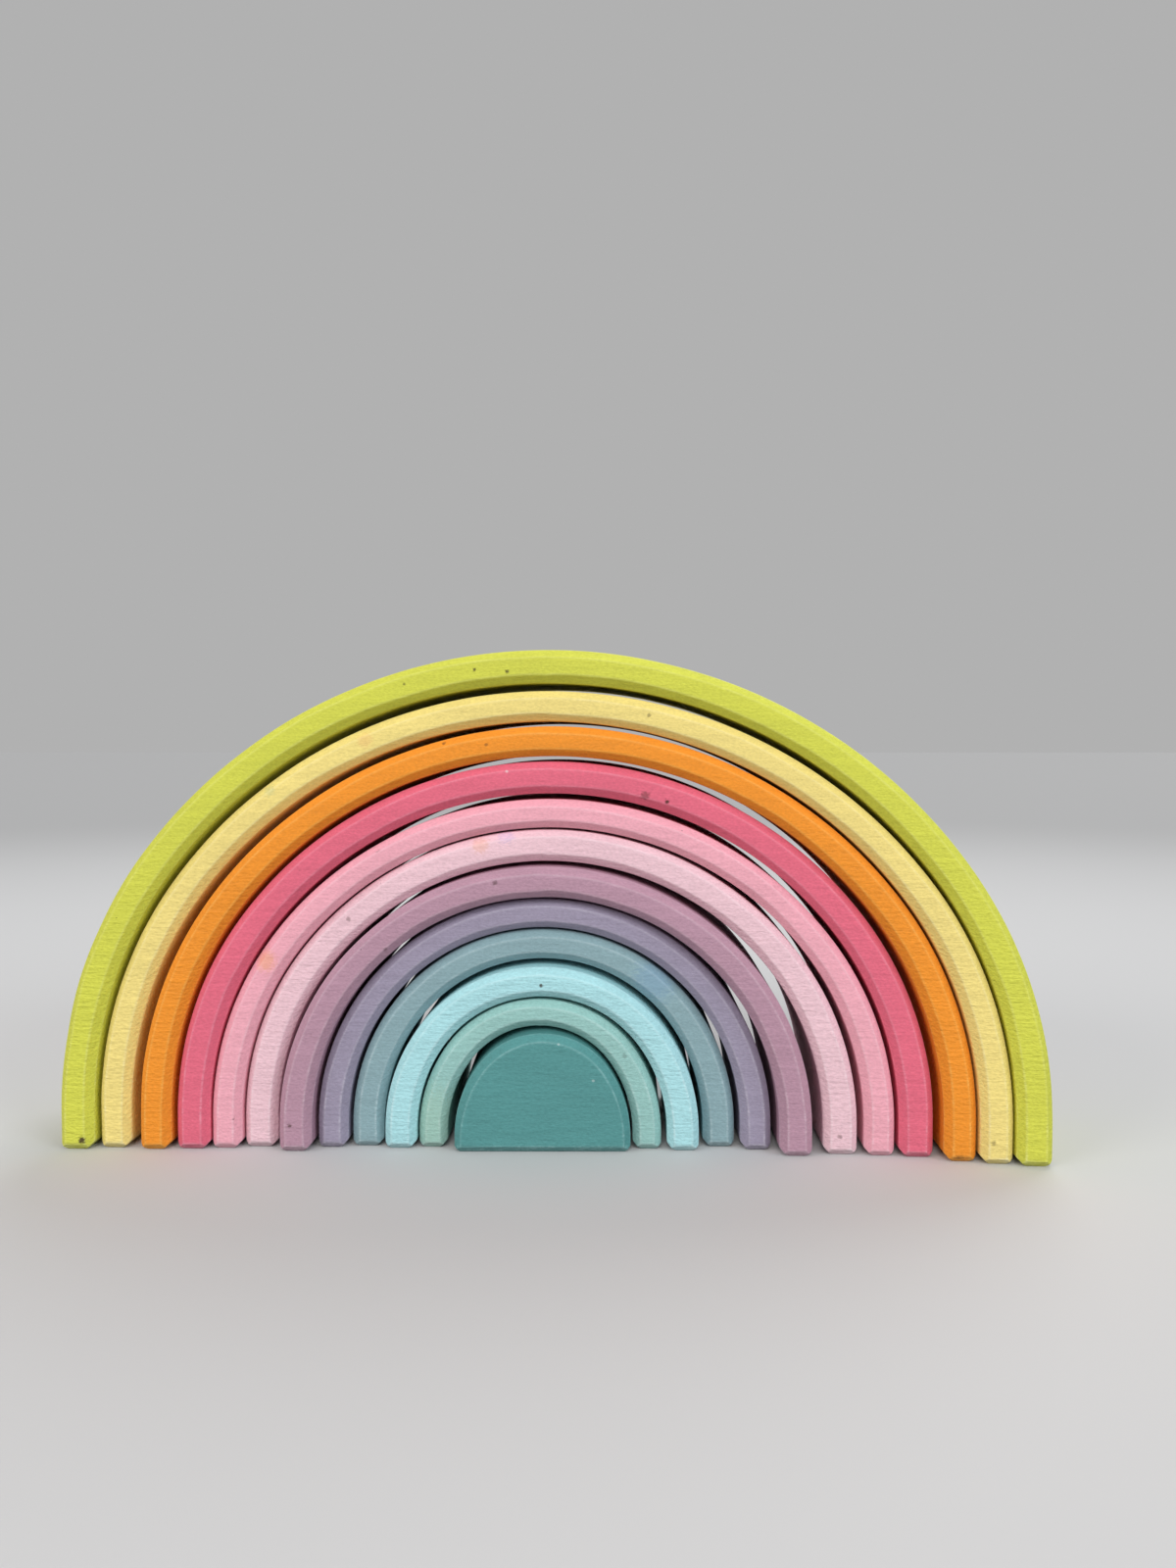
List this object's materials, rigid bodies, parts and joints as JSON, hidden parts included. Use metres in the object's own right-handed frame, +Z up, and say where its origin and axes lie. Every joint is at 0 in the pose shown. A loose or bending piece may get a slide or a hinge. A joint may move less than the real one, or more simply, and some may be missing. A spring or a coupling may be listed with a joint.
{
  "type": "rainbow stacker",
  "caption": "Nest of stained wooden arches over a half-round core. The arches slide out along their depth, and stack, line up or balance as a baby's building toy.",
  "frame": {"origin": "on the floor, under the middle of the outermost arch's width, on the underside of the core", "axes": "+X to the right of the nest seen from its front, +Y away from the viewer along the depth of the arches, +Z up"},
  "size_m": [0.3652, 0.085, 0.1861],
  "materials": {
    "teal": "matt stained wood",
    "mint": "matt stained wood",
    "cyan": "matt stained wood",
    "slate": "matt stained wood",
    "lavender": "matt stained wood",
    "plum": "matt stained wood",
    "light_pink": "matt stained wood",
    "pink": "matt stained wood",
    "raspberry": "matt stained wood",
    "orange": "matt stained wood",
    "yellow": "matt stained wood",
    "lime": "matt stained wood"
  },
  "bodies": {
    "core": {"teal_core": "teal"},
    "mint": {"mint_arch": "mint"},
    "cyan": {"cyan_arch": "cyan"},
    "slate": {"slate_arch": "slate"},
    "lavender": {"lavender_arch": "lavender"},
    "plum": {"plum_arch": "plum"},
    "light_pink": {"light_pink_arch": "light_pink"},
    "pink": {"pink_arch": "pink"},
    "raspberry": {"raspberry_arch": "raspberry"},
    "orange": {"orange_arch": "orange"},
    "yellow": {"yellow_arch": "yellow"},
    "lime": {"lime_arch": "lime"}
  },
  "joints": [
    {"name": "mint_slide", "type": "slide", "parent": "core", "child": "mint", "axis": [0.0261, -0.9997, 0], "range_m": [-0.08, 0.08]},
    {"name": "cyan_slide", "type": "slide", "parent": "mint", "child": "cyan", "axis": [0.0261, -0.9997, 0], "range_m": [-0.08, 0.08]},
    {"name": "slate_slide", "type": "slide", "parent": "cyan", "child": "slate", "axis": [0.0433, -0.9991, 0], "range_m": [-0.08, 0.08]},
    {"name": "lavender_slide", "type": "slide", "parent": "slate", "child": "lavender", "axis": [0.0326, -0.9995, 0], "range_m": [-0.08, 0.08]},
    {"name": "plum_slide", "type": "slide", "parent": "lavender", "child": "plum", "axis": [0.0231, -0.9997, 0], "range_m": [-0.08, 0.08]},
    {"name": "light_pink_slide", "type": "slide", "parent": "plum", "child": "light_pink", "axis": [0.0129, -0.9999, 0], "range_m": [-0.08, 0.08]},
    {"name": "pink_slide", "type": "slide", "parent": "light_pink", "child": "pink", "axis": [0.018, -0.9998, 0], "range_m": [-0.08, 0.08]},
    {"name": "raspberry_slide", "type": "slide", "parent": "pink", "child": "raspberry", "axis": [0.018, -0.9998, 0], "range_m": [-0.08, 0.08]},
    {"name": "orange_slide", "type": "slide", "parent": "raspberry", "child": "orange", "axis": [0.0083, -1, 0], "range_m": [-0.08, 0.08]},
    {"name": "yellow_slide", "type": "slide", "parent": "orange", "child": "yellow", "axis": [-0.0014, -1, 0], "range_m": [-0.08, 0.08]},
    {"name": "lime_slide", "type": "slide", "parent": "yellow", "child": "lime", "axis": [0, -1, 0], "range_m": [-0.08, 0.08]}
  ]
}
